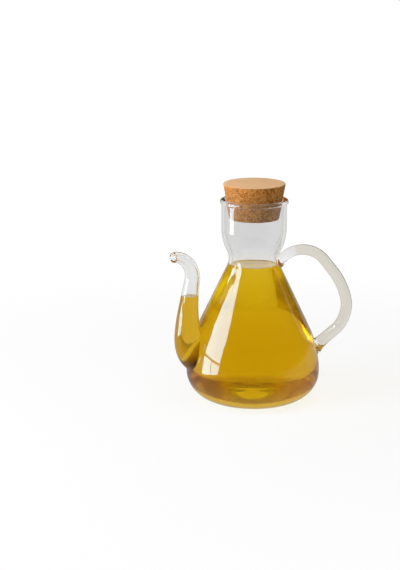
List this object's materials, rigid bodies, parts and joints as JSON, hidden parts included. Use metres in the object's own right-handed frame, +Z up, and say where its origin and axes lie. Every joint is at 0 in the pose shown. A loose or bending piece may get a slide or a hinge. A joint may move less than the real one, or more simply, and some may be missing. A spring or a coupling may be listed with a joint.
{
  "type": "oil and vinegar cruet",
  "caption": "Hand-blown glass cruet: a round base drawn in to a cone, a flared neck, a slim swan-necked side spout and a rod handle, closed by a tapered cork and filled with olive oil.",
  "frame": {"origin": "centre of the flat foot, on the table", "axes": "+Z up along the flask's axis, +X towards the handle; the spout is 200 degrees round from it"},
  "size_m": [0.1429, 0.107, 0.1742],
  "materials": {
    "clear_glass": "clear blown borosilicate glass",
    "cork": "natural cork with dark flecks",
    "oil": "clear golden-green olive oil"
  },
  "bodies": {
    "cruet": {"glass_cruet": "clear_glass", "olive_oil": "oil"},
    "stopper": {"cork_stopper": "cork"}
  },
  "joints": [
    {"name": "stopper_lift", "type": "slide", "parent": "cruet", "child": "stopper", "axis": [0, 0, 1], "range_m": [0, 0.03]}
  ]
}
